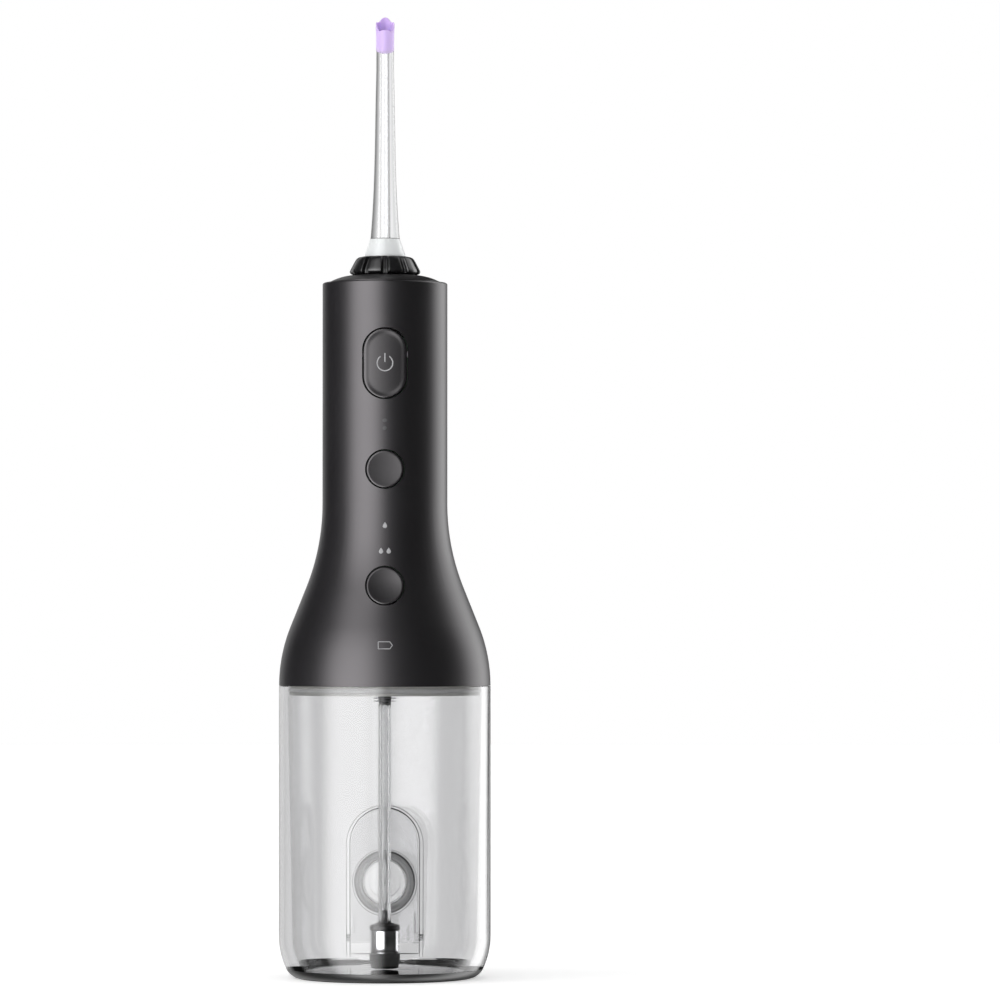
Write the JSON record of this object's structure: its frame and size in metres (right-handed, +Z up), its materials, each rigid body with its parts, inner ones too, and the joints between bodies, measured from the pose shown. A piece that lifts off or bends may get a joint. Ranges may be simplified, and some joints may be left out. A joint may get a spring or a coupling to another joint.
{
  "type": "water flosser",
  "caption": "Cordless water flosser: slim flared handle on a clear cylindrical tank, with a turning nozzle ring, bent soft-tipped nozzle, hanging suction hose and rear fill door.",
  "frame": {"origin": "middle of the underside, on the surface it stands on", "axes": "+Z up along the body's axis, front with the buttons towards -Y, +X to the right seen from the front"},
  "size_m": [0.067, 0.067, 0.3043],
  "materials": {
    "clear_tank": "clear",
    "clear_nozzle": "clear",
    "base_black": "satin",
    "foot_rubber": "matte",
    "plug_silicone": "translucent",
    "handle_satin": "satin",
    "button_satin": "satin",
    "ring_gloss": "gloss",
    "nozzle_white": "satin",
    "tip_lilac": "soft",
    "seal_rubber": "matte",
    "hose_clear": "translucent",
    "weight_steel": "polished",
    "weight_plastic": "satin",
    "inner_plastic": "satin",
    "screw_steel": "zinc",
    "valve_ball": "polished",
    "cell_wrap": "shrink wrap",
    "contact_nickel": "nickel plated",
    "board_green": "solder mask",
    "switch_black": "moulded",
    "led_lens": "clear"
  },
  "bodies": {
    "reservoir": {"tank_shell": "clear_tank", "tank_base": "base_black", "foot_ring": "foot_rubber"},
    "fill_door": {"door_panel": "clear_tank", "fill_plug": "plug_silicone"},
    "handle": {"housing": "handle_satin", "top_cap": "handle_satin", "floor_plate": "inner_plastic", "tank_seal": "plug_silicone", "plate_screws": "screw_steel", "hose_fitting": "weight_plastic", "inlet_manifold": "inner_plastic", "pump_body": "inner_plastic", "pump_head": "inner_plastic", "outlet_hose": "hose_clear", "nozzle_socket": "inner_plastic", "gearbox_plate": "inner_plastic", "gear_axle": "weight_steel", "motor_can": "weight_steel", "motor_endcap": "inner_plastic", "motor_screws": "screw_steel", "battery_cells": "cell_wrap", "battery_contacts": "contact_nickel", "chassis": "inner_plastic", "circuit_board": "board_green", "board_screws": "screw_steel", "tact_switches": "switch_black", "indicator_leds": "led_lens", "charge_socket": "switch_black"},
    "port_cover": {"port_cover": "foot_rubber"},
    "power_button": {"power_button": "button_satin"},
    "pressure_button": {"pressure_button": "button_satin"},
    "mode_button": {"mode_button": "button_satin"},
    "motor_rotor": {"motor_shaft": "weight_steel", "armature": "weight_steel", "drive_pinion": "inner_plastic"},
    "crank_gear": {"crank_gear": "inner_plastic"},
    "connecting_rod": {"connecting_rod": "inner_plastic"},
    "piston": {"piston": "inner_plastic", "piston_seal": "seal_rubber"},
    "inlet_ball": {"inlet_ball": "valve_ball"},
    "outlet_ball": {"outlet_ball": "valve_ball"},
    "pickup": {"suction_hose": "hose_clear", "weight_cap": "weight_plastic", "weight_body": "weight_steel", "weight_foot": "foot_rubber"},
    "nozzle_ring": {"nozzle_ring": "ring_gloss"},
    "nozzle": {"nozzle_base": "nozzle_white", "nozzle_seal": "seal_rubber", "nozzle_tube": "clear_nozzle", "nozzle_tip": "tip_lilac"}
  },
  "joints": [
    {"name": "handle_lift", "type": "slide", "parent": "reservoir", "child": "handle", "axis": [0, 0, 1], "range_m": [0, 0.09]},
    {"name": "fill_door_hinge", "type": "hinge", "parent": "reservoir", "child": "fill_door", "pos_m": [0, 0.029, 0.0105], "axis": [-1, 0, 0], "range_deg": [0, 95]},
    {"name": "port_cover_hinge", "type": "hinge", "parent": "handle", "child": "port_cover", "pos_m": [0, 0.03241, 0.0982], "axis": [-1, 0, 0], "range_deg": [0, 90]},
    {"name": "power_press", "type": "slide", "parent": "handle", "child": "power_button", "axis": [0, 1, 0], "range_m": [0, 0.0007], "stiffness_N_per_m": 1200, "springref_m": -0.0005},
    {"name": "pressure_press", "type": "slide", "parent": "handle", "child": "pressure_button", "axis": [0, 1, 0], "range_m": [0, 0.0007], "stiffness_N_per_m": 1200, "springref_m": -0.0005},
    {"name": "mode_press", "type": "slide", "parent": "handle", "child": "mode_button", "axis": [0, 1, 0], "range_m": [0, 0.0007], "stiffness_N_per_m": 1200, "springref_m": -0.0005},
    {"name": "crank_spin", "type": "hinge", "parent": "handle", "child": "crank_gear", "pos_m": [-0.007, 0, 0.1145], "axis": [0, 0, 1], "continuous": true},
    {"name": "motor_spin", "type": "hinge", "parent": "handle", "child": "motor_rotor", "pos_m": [0.00655, 0, 0.1145], "axis": [0, 0, 1], "continuous": true},
    {"name": "rod_pivot", "type": "hinge", "parent": "crank_gear", "child": "connecting_rod", "pos_m": [-0.009, 0, 0.105], "axis": [0, 0, 1], "continuous": true},
    {"name": "piston_stroke", "type": "slide", "parent": "handle", "child": "piston", "axis": [1, 0, 0], "range_m": [0, 0.004]},
    {"name": "inlet_valve_lift", "type": "slide", "parent": "handle", "child": "inlet_ball", "axis": [0, 0, 1], "range_m": [0, 0.001]},
    {"name": "outlet_valve_lift", "type": "slide", "parent": "handle", "child": "outlet_ball", "axis": [0, 0, 1], "range_m": [0, 0.001]},
    {"name": "hose_swing", "type": "hinge", "parent": "handle", "child": "pickup", "pos_m": [0, 0, 0.0877], "axis": [0, 1, 0], "range_deg": [-14, 14]},
    {"name": "nozzle_turn", "type": "hinge", "parent": "handle", "child": "nozzle_ring", "pos_m": [0, 0, 0.22], "axis": [0, 0, 1], "continuous": true},
    {"name": "nozzle_pull", "type": "slide", "parent": "nozzle_ring", "child": "nozzle", "axis": [0, 0, 1], "range_m": [0, 0.03]}
  ],
  "couplings": [
    {"joint": "motor_spin", "follows": "crank_spin", "ratio": -3.5},
    {"joint": "rod_pivot", "follows": "crank_spin", "ratio": -1}
  ]
}
